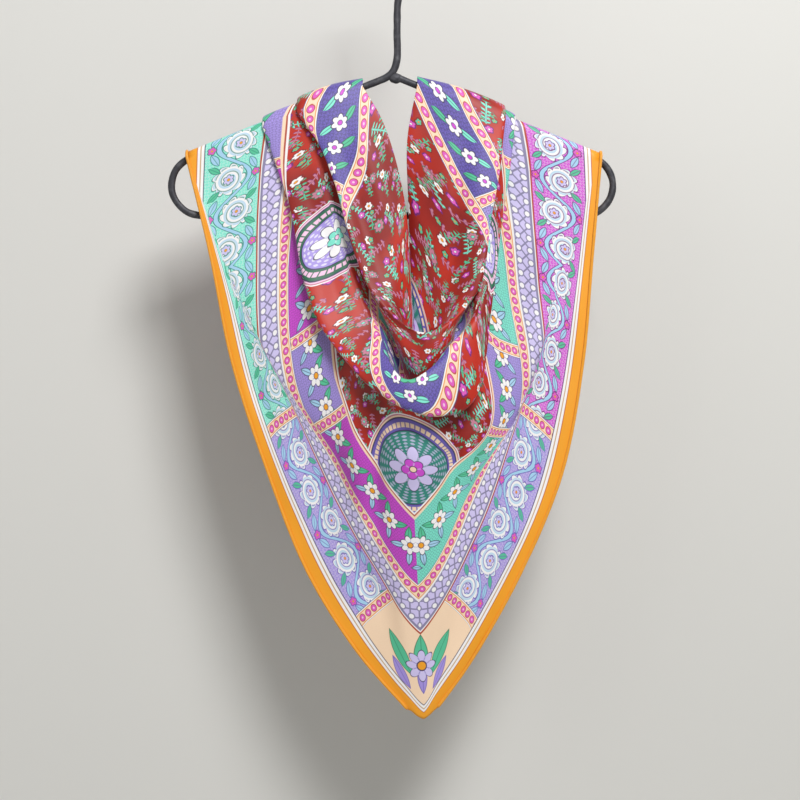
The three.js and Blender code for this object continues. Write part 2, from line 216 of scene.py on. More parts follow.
def smooth(points, places):
    """Points on the centripetal spline through points[0], points[1] ..., at the given places."""
    points = np.asarray(points, float)
    places = np.asarray(places, float)
    last = len(points) - 1
    start = np.clip(np.floor(places).astype(int), 0, last - 1)
    padded = np.concatenate([2 * points[:1] - points[1:2], points, 2 * points[-1:] - points[-2:-1]])
    before, here, there, after = (padded[start + k] for k in range(4))

    def knot(a, b):
        return np.maximum(((a - b) ** 2).sum(-1, keepdims=True) ** 0.25, 1e-4)

    d0, d1, d2 = knot(before, here), knot(here, there), knot(there, after)
    leave = ((here - before) / d0 - (there - before) / (d0 + d1) + (there - here) / d1) * d1
    arrive = ((there - here) / d1 - (after - here) / (d1 + d2) + (after - there) / d2) * d1
    w = (places - start).reshape((-1,) + (1,) * (points.ndim - 1))
    square = -3 * here + 3 * there - 2 * leave - arrive
    cube = 2 * here - 2 * there + leave + arrive
    return here + leave * w + square * w**2 + cube * w**3


def unit(vectors):
    return vectors / np.maximum(np.linalg.norm(vectors, axis=-1, keepdims=True), 1e-9)


def arm_height(x):
    return SHOULDER_Z - ARM_SLOPE * np.abs(x)


def station_point(station):
    if len(station) == 2:
        x, layer = station
        return (x, -(ROD + ARM_SLACK + WALL / 2 + layer * PLEAT_STEP), arm_height(x))
    x, z, y = station
    return (x, y, SHOULDER_Z + z)


def beside(line, angles, radii):
    """The line beside a fold line, on one side of its turn."""
    count = len(line)
    share = (1 - np.abs(2 * np.arange(count) / (count - 1) - 1)) ** 3
    angle = np.radians(angles[0] + (angles[1] - angles[0]) * share)[:, None]
    radius = (radii[0] + (radii[1] - radii[0]) * share)[:, None]
    along = np.gradient(line, axis=0)
    to_neck = unit(np.stack([-along[:, 2], np.zeros(count), along[:, 0]], 1))
    return line + radius * (np.cos(angle) * to_neck + np.sin(angle) * np.array([0, 1, 0]))


def fold_lines():
    """The front's lines from the neck to the tip, their place in the cut, and which are turns."""
    columns = np.linspace(0, 6, 6 * COLUMN_STEPS + 1)
    lines, cuts, names = [], [], []
    for name, *stations in FOLDS:
        line = smooth([station_point(s) for s in stations], columns)
        sides = [line]
        if name in TURNS:
            before, after, radii = TURNS[name]
            sides = [beside(line, before, radii), line, beside(line, after, radii)]
        middle = len(sides) // 2
        for k, side in enumerate(sides):
            lines.append(side)
            cuts.append(np.array(CUT[name], float) + (k - middle) * 3.0)
            names.append(name)
    return np.array(lines), np.array(cuts), names


LINES, CUTS, LINE_NAMES = fold_lines()
CORNER = LINE_NAMES.index("corner")
YOKE = LINE_NAMES.index("yoke")
TUCK = LINE_NAMES.index("tuck")
LAST = len(LINES) - 1


def edge_positions():
    """Where each line's two ends lie in the flat square: s at the left and right, then t."""
    ends = CUTS[:, 1:].T
    on_arm = np.arange(LAST + 1) <= CORNER
    spread = (HALF_DIAGONAL - CROSSING_FOLD - CROSSING_START) / CROSSING
    s = np.where(on_arm, CROSSING_FOLD * ends / CROSSING, ends)
    t = np.where(on_arm, CROSSING_START + spread * ends, HALF_DIAGONAL - ends)
    return (s[0], s[1], t[0], t[1])


EDGES = edge_positions()


def row_places(steps):
    """Where the rows stand, counted in lines: close together in a turn."""
    places = [0.0]
    for k in range(LAST):
        in_turn = LINE_NAMES[k] == LINE_NAMES[k + 1]
        count = TURN_STEPS if in_turn else steps
        places += [k + (i + 1) / count for i in range(count)]
    return np.array(places)


def bare_surface(places):
    """The middle of the double cloth. The hem leaves the arm in a sharp corner, so the spline
    across the lines stops at the corner line and starts again."""
    places = np.clip(places, 0, LAST)
    upper = smooth(LINES[: CORNER + 1], np.minimum(places, CORNER))
    lower = smooth(LINES[CORNER:], np.maximum(places - CORNER, 0))
    return np.where((places <= CORNER)[:, None, None], upper, lower)


def crease_height(points, creases):
    """How far the creases lift each point towards the front."""
    x, z = points[..., 0], points[..., 2] - SHOULDER_Z
    lift = np.zeros(x.shape)
    for (x1, z1), (x2, z2), width, height in creases:
        length_squared = (x2 - x1) ** 2 + (z2 - z1) ** 2
        along = ((x - x1) * (x2 - x1) + (z - z1) * (z2 - z1)) / length_squared
        inside = np.clip(along, 0, 1)
        away = (x - x1 - inside * (x2 - x1)) ** 2 + (z - z1 - inside * (z2 - z1)) ** 2
        taper = 0.35 + 0.65 * np.sin(np.pi * inside) ** 0.7
        lift += height * taper * np.exp(-away / width**2)
    return lift


def ripples(points):
    """Small uneven waves that silk keeps from being handled, mostly along its hang."""
    draw = np.random.default_rng(11)
    x, z = points[..., 0], points[..., 2]
    total = np.zeros(x.shape)
    for _ in range(RIPPLES):
        wavelength = draw.uniform(*RIPPLE_LENGTH)
        heading = draw.normal(0.0, 0.55)
        phase, place = draw.uniform(0, 2 * math.pi, 2)
        run = (x * math.cos(heading) + z * math.sin(heading)) * 2 * math.pi / wavelength + phase
        swell = 0.5 + 0.5 * np.sin((z * math.cos(heading) - x * math.sin(heading)) / 55.0 + place)
        total += np.sin(run) * swell * wavelength
    return total * RIPPLE_HEIGHT / (RIPPLES * np.mean(RIPPLE_LENGTH))


def ease(x, start, end):
    t = np.clip((x - start) / (end - start), 0, 1)
    return t * t * (3 - 2 * t)


def surface(places):
    """The creased middle surface, with the direction square to it that points to the front."""
    points = bare_surface(places)
    step = 0.02
    down = bare_surface(places + step) - bare_surface(places - step)
    right = np.gradient(points, axis=1)
    front = unit(np.cross(down, right))
    near_neck = places[:, None]
    across = np.linspace(-1, 1, points.shape[1])[None, :]
    inside = 1 - ease(np.abs(across), 0.86, 1.0)
    panel = ease(near_neck, TUCK + 1.3, YOKE + 0.4) * (1 - ease(near_neck, LAST - 1.5, LAST))
    cowl = ease(near_neck, 0.2, 1.2) * (1 - ease(near_neck, TUCK - 2, TUCK - 1))
    lift = panel * crease_height(points, CREASES) + cowl * crease_height(points, COWL_CREASES)
    lift += (0.3 + 0.7 * np.maximum(panel, cowl)) * ripples(points)
    return points + front * (lift * inside)[..., None], front


def cut_position(places, row_sign, points):
    """Flat coordinates, s from the diagonal and t along it, of every point of the rows."""
    lines = np.arange(LAST + 1)
    middle = np.interp(places, lines, CUTS[:, 0])
    left_s, right_s, left_t, right_t = (np.interp(places, lines, edge) for edge in EDGES)
    steps = np.linalg.norm(np.diff(points, axis=1), axis=2)
    run = np.concatenate([np.zeros((len(points), 1)), np.cumsum(steps, axis=1)], axis=1)
    centre = points.shape[1] // 2
    signed = run - run[:, centre : centre + 1]
    share = np.where(signed < 0, signed / -signed[:, :1], signed / signed[:, -1:])
    edge_s = np.where(share < 0, left_s[:, None], right_s[:, None])
    edge_t = np.where(share < 0, left_t[:, None], right_t[:, None])
    s = middle[:, None] + (edge_s - middle[:, None]) * np.abs(share) ** 1.4
    return row_sign[:, None] * s, np.sign(share) * edge_t * np.abs(share)


def silk_rows(half_gap):
    """The whole square as rows of points: up the inner layer, over the fold, down the outer."""
    inner_places = row_places(INNER_STEPS)[::-1]
    outer_places = row_places(OUTER_STEPS)
    inner, inner_front = surface(inner_places)
    outer, outer_front = surface(outer_places)
    up = unit(bare_surface(np.array([0.0])) - bare_surface(np.array([0.05])))[0]
    crest = [
        outer[0] + half_gap * (math.cos(a) * outer_front[0] + math.sin(a) * up)
        for a in np.radians((144, 108, 72, 36))
    ]
    rows = np.concatenate([inner - half_gap * inner_front, crest, outer + half_gap * outer_front])
    places = np.concatenate([inner_places, np.zeros(len(crest)), outer_places])
    signs = np.repeat((-1.0, 0.0, 1.0), (len(inner_places), len(crest), len(outer_places)))
    s, t = cut_position(places, signs, rows)
    inner_corner = int(np.argmin(np.abs(inner_places - CORNER)))
    outer_corner = len(inner_places) + len(crest) + int(np.argmin(np.abs(outer_places - CORNER)))
    return rows, s, t, inner_corner, outer_corner


def tail_rows(ends, s, t, corner_x):
    """A tail, from the front's edge over the arm and down to the square's corner, still pleated."""
    radius = -ends[:, 1]
    x_ends = ends[:, 0]
    span = x_ends - x_ends[np.argmax(np.abs(x_ends - x_ends[len(ends) // 2]))]
    width = np.abs(span).max()
    rows, flat_s, flat_t = [], [], []
    corner_t = math.copysign(HALF_DIAGONAL, t[0])
    saddle = math.pi * radius.mean()
    whole = saddle + TAIL_DROP - 60
    for k in range(1, SADDLE_STEPS + 1):
        angle = k / SADDLE_STEPS * math.pi
        rise = radius * math.hypot(1, ARM_SLOPE) * math.sin(angle)
        rows.append(np.stack([ends[:, 0], -radius * math.cos(angle), ends[:, 2] + rise], 1))
        fall = saddle * k / SADDLE_STEPS / whole
        flat_s.append(s * (1 - fall))
        flat_t.append(t + (corner_t - t) * fall)
    for k in range(1, TAIL_STEPS + 1):
        fall = k / TAIL_STEPS * TAIL_SHARE
        wave = TAIL_WAVE * np.sin(np.abs(span) / width * TAIL_WAVES * math.pi)
        wave = wave * math.sin(fall * math.pi)
        middle = radius.mean() + TAIL_BACK * fall * fall * (3 - 2 * fall)
        depth = middle + (radius - radius.mean()) * (1 - 0.6 * fall) + wave
        x = ends[:, 0] + (corner_x - ends[:, 0]) * fall
        z = ends[:, 2] + (SHOULDER_Z - TAIL_DROP - ends[:, 2]) * fall
        rows.append(np.stack([x, depth, z], 1))
        flat = saddle / whole + (1 - saddle / whole) * fall
        flat_s.append(s * (1 - flat))
        flat_t.append(t + (corner_t - t) * flat)
    return np.array(rows), np.array(flat_s), np.array(flat_t)


def new_object(name, points, faces=(), edges=()):
    mesh = bpy.data.meshes.new(name)
    mesh.from_pydata([tuple(p) for p in np.asarray(points) * MM], edges, faces)
    mesh.validate()
    made = bpy.data.objects.new(name, mesh)
    bpy.context.scene.collection.objects.link(made)
    return made


def smooth_faces(made):
    made.data.polygons.foreach_set("use_smooth", [True] * len(made.data.polygons))


def apply_modifiers(made):
    """The modifiers' result becomes the object's plain mesh."""
    bpy.context.view_layer.update()
    result = made.evaluated_get(bpy.context.evaluated_depsgraph_get())
    mesh = bpy.data.meshes.new_from_object(result)
    made.modifiers.clear()
    made.data = mesh


def grid_faces(index, flip=False):
    faces = []
    for r in range(index.shape[0] - 1):
        for c in range(index.shape[1] - 1):
            quad = (index[r, c], index[r + 1, c], index[r + 1, c + 1], index[r, c + 1])
            faces.append(tuple(int(i) for i in (quad[::-1] if flip else quad)))
    return faces


def tube(path, radii, sides):
    """A closed tube round a path that stays square to Y. radii is an (across, over) pair for each
    point of the path, or for each point of each ring."""
    path = np.asarray(path, float)
    along = unit(np.gradient(path, axis=0))
    side = unit(np.cross(np.broadcast_to((0.0, 1.0, 0.0), along.shape), along))
    over = np.cross(along, side)
    angles = np.arange(sides) / sides * 2 * math.pi
    radii = np.asarray(radii, float)
    if radii.ndim == 2:
        radii = radii[:, None, :]
    rings = (
        path[:, None]
        + side[:, None] * (np.cos(angles)[None, :] * radii[..., 0])[..., None]
        + over[:, None] * (np.sin(angles)[None, :] * radii[..., 1])[..., None]
    )
    count = len(path)
    points = rings.reshape(-1, 3)
    faces = []
    for i in range(count - 1):
        for k in range(sides):
            n = (k + 1) % sides
            faces.append((i * sides + k, i * sides + n, (i + 1) * sides + n, (i + 1) * sides + k))
    faces.append(tuple(range(sides))[::-1])
    faces.append(tuple((count - 1) * sides + k for k in range(sides)))
    return points, faces


def evened(path, spacing):
    """The path with points at an even spacing."""
    run = np.concatenate([[0], np.cumsum(np.linalg.norm(np.diff(path, axis=0), axis=1))])
    stops = np.linspace(0, run[-1], max(2, int(run[-1] / spacing) + 1))
    return np.stack([np.interp(stops, run, path[:, k]) for k in range(3)], 1)


# ---- The print's sizes, in millimetres -----------------------------------------------------------
TWILL_PITCH = 0.9
SCROLL_PITCH = 5.2
LATTICE_PITCH = 12.0
FIELD_DRIFT = 30.0  # how far the motifs stray from their rows
PANEL_MIDDLE = 272.0  # from the hem
PANEL_EDGES = (241.5, 302.5)
PANEL_CHANGE = 78.0  # from the side's middle to where the ground changes colour
SPRAY_MIDDLE = 126.5
SPRAY_CHANGES = (96.0, 178.0)
PEARL_MIDDLE = 96.2
LATTICE_MIDDLE = 79.5
LATTICE_EDGES = (71.0, 88.4)
VINE_MIDDLE = 41.5
VINE_STEP = 34.0  # half of a wave
VINE_SWING = 14.5
VINE_CHANGES = (151.0, 340.0)
LILAC_START = 150.0  # from the side's middle, as the corner's start is
CORNER_START = 346.0
# Plain lines between the bands: each one's reach from the hem, and its colour.
SPRAY_LINES = ((155, "white"), (153.4, "rust"), (152.2, "peach"))
LATTICE_LINES = ((90.4, "white"), (89.2, "smoke"))
VINE_LINES = ((68.6, "white"), (67.6, "rust"))
BORDER_LINES = (
    (15.4, "ink"), (14.6, "white"), (12.2, "tan"), (11.2, "white"), (9.0, "rust"),
    (8.4, "marigold"),
)
# Rows of ferns: shift, pitch, lean, and the colours of leaf and outline.
FERNS = (
    (0.0, 25.0, 0.5, ("leaf", "deep_green")),
    (12.5, 25.0, -0.6, ("dusky", "plum")),
    (8.0, 31.0, 1.3, ("aqua", "deep_green")),
)
# Rows of blossoms: shift, pitch, radius, petals, and the colours of outline, petal, vein, middle.
BLOSSOMS = (
    (6.0, 25.0, 3.4, 6, ("dark_red", "white", "sky", "marigold")),
    (19.0, 25.0, 2.7, 5, ("plum", "pearl", "magenta", "white")),
    (14.0, 19.0, 2.0, 5, ("dark_red", "leaf", "white", "marigold")),
    (30.0, 37.0, 4.4, 8, ("deep_green", "dusky", "plum", "aqua")),
)
COOL = ("deep_green", "ink", "pearl_pale", "lilac", "white", "aqua")
WARM = ("violet", "ink", "peach", "teal", "pale_lilac", "magenta")
# Rosettes: place from the square's middle, radius, and the colours, as medallion takes them.
ROSETTES = (
    (0.0, 0.0, 40.0, WARM), (250.0, 0.0, 34.0, COOL), (0.0, 250.0, 34.0, COOL),
    (262.0, 262.0, 48.0, WARM),
)


# ---- Shader maths --------------------------------------------------------------------------------
def operator(operation, reflected=False):
    def add_node(self, other):
        values = (other, self) if reflected else (self, other)
        return self.board.maths(operation, *values)

    return add_node


class Field:
    """A socket that takes part in arithmetic. Each sum adds its Math node."""

    def __init__(self, board, socket):
        self.board = board
        self.socket = socket

    def __abs__(self):
        return self.board.maths("ABSOLUTE", self)

    __add__, __radd__ = operator("ADD"), operator("ADD", reflected=True)
    __sub__, __rsub__ = operator("SUBTRACT"), operator("SUBTRACT", reflected=True)
    __mul__, __rmul__ = operator("MULTIPLY"), operator("MULTIPLY", reflected=True)
    __truediv__ = operator("DIVIDE")


class Board:
    """A material's node tree."""

    def __init__(self, name):
        self.material = bpy.data.materials.new(name)
        self.material.use_nodes = True
        self.tree = self.material.node_tree
        self.tree.nodes.clear()

    def node(self, kind, settings=None, **values):
        made = self.tree.nodes.new(kind)
        for key, value in (settings or {}).items():
            setattr(made, key, value)
        for key, value in values.items():
            spot = int(key[1:]) if key[0] == "i" and key[1:].isdigit() else key.replace("_", " ")
            self.feed(made.inputs[spot], value)
        return made

    def feed(self, socket, value):
        if isinstance(value, Field):
            self.tree.links.new(value.socket, socket)
        elif isinstance(value, bpy.types.NodeSocket):
            self.tree.links.new(value, socket)
        else:
            socket.default_value = value

    def maths(self, operation, *values):
        made = self.node("ShaderNodeMath", {"operation": operation})
        for socket, value in zip(made.inputs, values):
            self.feed(socket, value)
        return Field(self, made.outputs[0])

    def mask(self, inside, softness=0.5):
        """At least 1 where inside is above 0, at most 0 outside, soft between. A mix clamps it."""
        return self.maths("MULTIPLY_ADD", inside, 1 / softness, 0.5)

    def part(self, mask, strength):
        """The mask held between 0 and 1, times a strength."""
        return self.most(self.least(mask, 1.0), 0.0) * strength

    def between(self, value, low, high, softness=0.5):
        middle, reach = (low + high) / 2, (high - low) / 2
        return self.mask(reach - abs(value - middle), softness)

    def least(self, a, b):
        return self.maths("MINIMUM", a, b)

    def most(self, a, b):
        return self.maths("MAXIMUM", a, b)

    def cell(self, value, pitch):
        """How far a value is past the middle of its cell, where the cells are one pitch long."""
        return (self.maths("FRACT", value / pitch) - 0.5) * pitch

    def brick(self, x, y, pitch):
        """A cell's two distances, where each row of cells is shifted against the last."""
        row = self.maths("FLOOR", y / pitch)
        return self.cell(x + row * (pitch * 0.38), pitch), self.cell(y, pitch)

    def distance(self, x, y):
        return self.maths("SQRT", x * x + y * y)

    def noise(self, scale, detail):
        where = self.node("ShaderNodeTexCoord").outputs["Object"]
        made = self.node("ShaderNodeTexNoise", Vector=where, Scale=scale, Detail=detail)
        return Field(self, made.outputs[0])

    def finish(self, height, strength, depth, **values):
        """A surface with these values and a bump of this height. The result is the material."""
        bump = self.node("ShaderNodeBump", Strength=strength, Distance=depth, Height=height)
        skin = self.node("ShaderNodeBsdfPrincipled", Normal=bump.outputs[0], **values)
        self.node("ShaderNodeOutputMaterial", Surface=skin.outputs[0])
        return self.material

    def mix(self, mask, under, over):
        made = self.node("ShaderNodeMix", {"data_type": "RGBA"})
        self.feed(made.inputs[0], mask)
        self.feed(made.inputs[6], under)
        self.feed(made.inputs[7], over)
        return made.outputs[2]


def tint(code):
    """The linear colour of an sRGB code."""
    parts = [int(code[i : i + 2], 16) / 255 for i in (0, 2, 4)]
    linear = [c / 12.92 if c <= 0.04045 else ((c + 0.055) / 1.055) ** 2.4 for c in parts]
    return (*linear, 1.0)


class Painting:
    """Layers of colour, each laid on the last through its mask. A colour is a name or a socket."""

    def __init__(self, board, ground, palette):
        self.board = board
        self.palette = palette
        self.colour = self.named(ground)

    def named(self, colour):
        return self.palette[colour] if isinstance(colour, str) else colour

    def lay(self, mask, colour, strength=1.0):
        if strength < 1:
            mask = self.board.part(mask, strength)
        self.colour = self.board.mix(mask, self.colour, self.named(colour))

    def fill(self, distance, *layers):
        """Each layer is a reach and the colour that fills it, the widest first."""
        for reach, colour in layers:
            self.lay(self.board.mask(reach - distance), colour)

    def petals(self, x, y, radius, count, colours, turn=0.0, depth=0.3):
        """A blossom with a dark outline, pale petals, veins and a round middle."""
        board = self.board
        outline, petal, vein, middle = colours
        reach = board.distance(x, y)
        angle = board.maths("ARCTAN2", y, x) + turn
        lobe = abs(board.maths("COSINE", angle * (count / 2)))
        edge = lobe * (radius * depth) + radius * (1 - depth)
        self.lay(board.mask(edge + 0.9 - reach), outline)
        self.lay(board.mask(edge - reach), petal)
        rib = board.least(board.mask(0.3 - lobe, 0.15), board.mask(edge - 1.2 - reach))
        self.lay(rib, vein, 0.55)
        self.fill(reach, (radius * 0.34, outline), (radius * 0.26, middle))

    def leaf(self, x, y, length, width, angle, colours):
        """A pointed leaf with a midrib, laid along a direction."""
        board = self.board
        fill, outline = colours
        c, s = math.cos(angle), math.sin(angle)
        along = x * c + y * s
        across = abs(y * c - x * s)
        body = width - along * along * (width / length**2) - across
        self.lay(board.mask(body + 0.7), outline)
        self.lay(board.mask(body), fill)
        self.lay(board.least(board.mask(0.35 - across), board.mask(body)), outline, 0.7)

    def fern(self, x, y, fill, outline):
        """A short fern: a stem with pairs of slanting leaflets."""
        board = self.board
        side = abs(x)
        up = board.cell(y, 3.6)
        inside = 9.5 - abs(y)
        along = side * 0.75 - up * 0.66
        across = abs(side * 0.66 + up * 0.75)
        leaflet = board.least(1.0 - across - abs(along - 2.4) * 0.42, inside)
        self.lay(board.mask(leaflet + 0.35), outline)
        self.lay(board.mask(board.most(leaflet, board.least(0.35 - side, inside))), fill)

    def string(self, along, across, pitch):
        """A row of round pearls on a peach ribbon with orange and white edges."""
        self.fill(abs(across), (6.4, "ink"), (5.9, "white"), (4.9, "orange"), (4.1, "peach"))
        pearl = self.board.distance(self.board.cell(along, pitch), across)
        self.fill(pearl, (3.5, "rust"), (2.8, "pearl"), (1.0, "pearl_pale"))

    def scroll(self, x, y, radius, line, light, shade):
        """A leafy volute: a lobed leaf with a spiral vein."""
        board = self.board
        reach = board.distance(x, y)
        angle = board.maths("ARCTAN2", y, x)
        lobes = radius + 3.2 * abs(board.maths("SINE", angle * 4.5 + reach * 0.25)) - reach
        self.lay(board.mask(lobes + 0.8), line)
        self.lay(board.mask(lobes), light)
        turn = board.cell(reach - angle * (SCROLL_PITCH / (2 * math.pi)), SCROLL_PITCH)
        self.lay(board.least(board.mask(turn - 0.4, 1.5), board.mask(lobes - 0.8)), shade, 0.7)
        self.lay(board.least(board.mask(0.5 - abs(turn)), board.mask(lobes - 1.2)), line, 0.8)

    def lace(self, x, y, pitch, colour, strength):
        """A small all-over figure in one tone."""
        board = self.board
        turn = 2 * math.pi / pitch
        waves = board.maths("SINE", x * turn) * board.maths("SINE", y * turn)
        finer = turn * 1.5
        fine = board.maths("SINE", (x + y) * finer) * board.maths("SINE", (x - y) * finer)
        self.lay(board.mask(abs(waves + 0.6 * fine) - 0.42, 0.2), colour, strength)

    def medallion(self, x, y, radius, colours):
        """A round rosette: edges, a rim with a ring of beads, a ground and a star of petals."""
        board = self.board
        rim, dark, bead, ground, star, heart = colours
        reach = board.distance(x, y)
        angle = board.maths("ARCTAN2", y, x)
        self.fill(reach, (radius + 4.6, "white"), (radius + 3.6, "dusky"), (radius + 2.5, bead),
                  (radius + 1.2, dark), (radius, rim))
        beads = abs(board.maths("SINE", angle * round(radius * 0.55)))
        ring = board.between(reach, radius - 7, radius - 3)
        self.lay(board.least(ring, board.mask(beads - 0.35, 0.3)), bead)
        self.fill(reach, (radius - 9, dark), (radius - 10, ground))
        spokes = board.maths("COSINE", angle * 24)
        lace = board.mask(board.maths("SINE", reach * 2.1) + spokes - 0.5, 0.4)
        self.lay(board.least(lace, board.mask(radius - 11 - reach)), star, 0.6)
        self.petals(x, y, radius * 0.52, 8, (dark, star, ground, heart), depth=0.42)
        self.petals(x, y, radius * 0.24, 5, (dark, heart, star, bead), turn=0.6)


class FlatSquare:
    """Where each point of the silk lies in the flat square, in millimetres."""

    def __init__(self, board):
        flat = board.node("ShaderNodeUVMap", {"uv_map": "flat"})
        parts = board.node("ShaderNodeSeparateXYZ", i0=flat.outputs[0])
        self.across = Field(board, parts.outputs[0]) * SQUARE - HALF
        self.upward = Field(board, parts.outputs[1]) * SQUARE - HALF
        self.x, self.y = abs(self.across), abs(self.upward)
        self.edge = HALF - board.most(self.x, self.y)  # from the nearest hem
        self.run = board.least(self.x, self.y)  # from the middle of that side
        # 1 beside two opposite hems, 0 beside the rest
        self.first_side = board.mask(self.x - self.y, 0.4)


def paint_field(board, square, palette):
    """The red middle: rosettes among ferns and blossoms in loose, shifted rows."""
    field = Painting(board, "vermilion", palette)
    place = board.node("ShaderNodeCombineXYZ", i0=square.across, i1=square.upward)
    cloud = board.node("ShaderNodeTexNoise", {"noise_dimensions": "2D"}, Vector=place.outputs[0],
                       Scale=0.016, Detail=0.0)
    parts = board.node("ShaderNodeSeparateXYZ", i0=cloud.outputs[1])
    drift = [Field(board, parts.outputs[k]) - 0.5 for k in range(3)]
    x, y = square.across + FIELD_DRIFT * drift[0], square.upward + FIELD_DRIFT * drift[1]
    field.lay(board.mask(drift[2], 0.2), "dark_red", 0.75)
    for shift, pitch, lean, look in FERNS:
        u, v = board.brick(x + shift, y + shift * 1.7, pitch)
        c, s = math.cos(lean), math.sin(lean)
        field.fern(u * c + v * s, v * c - u * s, *look)
    for shift, pitch, radius, count, look in BLOSSOMS:
        u, v = board.brick(x + shift, y - shift * 1.3, pitch)
        field.petals(u, v, radius, count, look, turn=shift)
    for from_middle_x, from_middle_y, radius, look in ROSETTES:
        field.medallion(square.x - from_middle_x, square.y - from_middle_y, radius, look)
    return field


def paint_panels(board, square, palette):
    """The frame of sprigged panels that crosses the field, between two strings of pearls."""
    edge, run = square.edge, square.run
    ground = board.mix(square.first_side, palette["lilac"], palette["aqua"])
    panels = Painting(board, ground, palette)
    panels.lay(board.mask(run - PANEL_CHANGE, 0.4), "violet")
    panels.lace(run, edge, 6.0, "ink", 0.5)
    q, v = board.cell(run, 21.0), edge - PANEL_MIDDLE
    panels.leaf(q - 6, v - 9, 8, 2.4, 0.8, ("leaf", "deep_green"))
    panels.leaf(q + 6, v + 9, 8, 2.4, 0.8, ("aqua", "ink"))
    panels.petals(q, v, 6.5, 6, ("ink", "white", "sky", "magenta"), depth=0.38)
    panels.string(edge, run - PANEL_CHANGE, 8.0)
    for side in (24, -24):
        panels.string(run, edge - PANEL_MIDDLE - side, 8.6)
    return panels


def paint_inner_band(board, square, palette):
    """Long panels of leaf sprays on aqua, magenta and lilac."""
    edge, run = square.edge, square.run
    ground = board.mix(square.first_side, palette["aqua"], palette["magenta"])
    ground = board.mix(board.between(run, *SPRAY_CHANGES), ground, palette["lilac"])
    band = Painting(board, ground, palette)
    band.lace(run, edge, 5.0, "ink", 0.34)
    q, v = board.cell(run, 30.0), edge - SPRAY_MIDDLE
    for lean, far in ((0.9, 8), (-0.9, -8)):
        band.leaf(q - far, v - 7, 9, 3.0, lean, ("leaf", "deep_green"))
        band.leaf(q - far, v + 9, 8, 2.6, -lean, ("sky", "ink"))
    band.petals(q, v - 1, 9.5, 7, ("ink", "white", "violet", "marigold"), depth=0.38)
    for change in SPRAY_CHANGES:
        band.string(edge, run - change, 8.0)
    return band


def paint_lattice(board, square, field):
    """A band of crossed wires with a white knot at each crossing."""
    edge, run = square.edge, square.run
    field.fill(edge, *LATTICE_LINES)
    wires = [abs(board.cell(slant, LATTICE_PITCH)) for slant in (run + edge, run - edge)]
    across = board.cell(edge - LATTICE_MIDDLE, LATTICE_PITCH)
    knot = board.distance(board.cell(run, LATTICE_PITCH), across)
    inside = board.between(edge, *LATTICE_EDGES)
    field.lay(board.least(inside, board.mask(board.least(*wires) - 1.1)), "pale_lilac")
    field.lay(board.least(inside, board.mask(3.6 - knot)), "smoke")
    field.lay(board.least(inside, board.mask(2.4 - knot)), "white")


def paint_outer_band(board, square, palette):
    """A vine with scrolls on aqua and magenta, then on lilac, and a blossom in each corner."""
    edge, run = square.edge, square.run
    lilac_part = board.mask(run - LILAC_START, 0.4)

    def by_place(first, second, third):
        """The colour beside two opposite hems, beside the other two, and on the lilac."""
        sides = board.mix(square.first_side, palette[second], palette[first])
        return board.mix(lilac_part, sides, palette[third])

    vine = Painting(board, by_place("aqua", "magenta", "lilac"), palette)
    ink = by_place("teal", "plum", "violet")
    vine.lace(run, edge, 6.0, "white", 0.3)
    q = board.cell(run, VINE_STEP)
    side = 1 - 2 * board.maths("MODULO", board.maths("FLOOR", run / VINE_STEP), 2.0)
    v = (edge - VINE_MIDDLE) * side
    arch = VINE_SWING * board.maths("COSINE", q * (math.pi / VINE_STEP))
    vine.fill(abs(v - arch), (2.9, ink), (2.0, "sky"))
    vine.scroll(q, v + 4.5, 12.0, ink, "white", "sky")
    vine.petals(q, v + 4.5, 4.6, 6, (ink, "pale_lilac", "white", "marigold"), depth=0.34)
    for away, lean in ((10.5, -0.5), (-10.5, 0.5)):
        vine.leaf(q - away, v - 17.5, 7.0, 2.8, lean, ("sky", ink))
        vine.leaf(q - away * 1.25, v + 17.5, 6.5, 2.4, lean * 1.8, ("leaf", ink))
    vine.petals(q, v - 20.5, 3.6, 5, (ink, "pearl", "white", "marigold"), turn=0.3)
    for change in VINE_CHANGES:
        vine.string(edge, run - change, 8.2)
    x, y = HALF - square.x, HALF - square.y
    vine.lay(board.mask(run - CORNER_START, 0.4), "peach")
    for shift, lean in ((0.0, math.pi / 4), (15.0, 1.35), (-15.0, 0.22)):
        vine.leaf(x - 50 + shift, y - 50 - shift, 22, 6.5, lean, ("leaf", "deep_green"))
        vine.leaf(x - 36 + shift, y - 36 - shift, 16, 4.2, lean, ("lilac", "violet"))
    vine.petals(x - 44, y - 44, 15, 8, ("ink", "pale_lilac", "violet", "marigold"), depth=0.4)
    return vine


def paint_print(board, square, palette):
    """The whole print: a plain border round bands, then a red field. Reaches are from the hem."""
    field = paint_field(board, square, palette)
    panels = paint_panels(board, square, palette)
    field.lay(board.between(square.edge, *PANEL_EDGES), panels.colour)
    band = paint_inner_band(board, square, palette)
    field.fill(square.edge, *SPRAY_LINES, (150, band.colour))
    field.string(square.run, square.edge - PEARL_MIDDLE, 8.6)
    paint_lattice(board, square, field)
    vine = paint_outer_band(board, square, palette)
    field.fill(square.edge, *VINE_LINES, (66, vine.colour), *BORDER_LINES)
    return field.colour


def shaded(colour, share):
    return tuple(value * share for value in colour[:3]) + (1.0,)


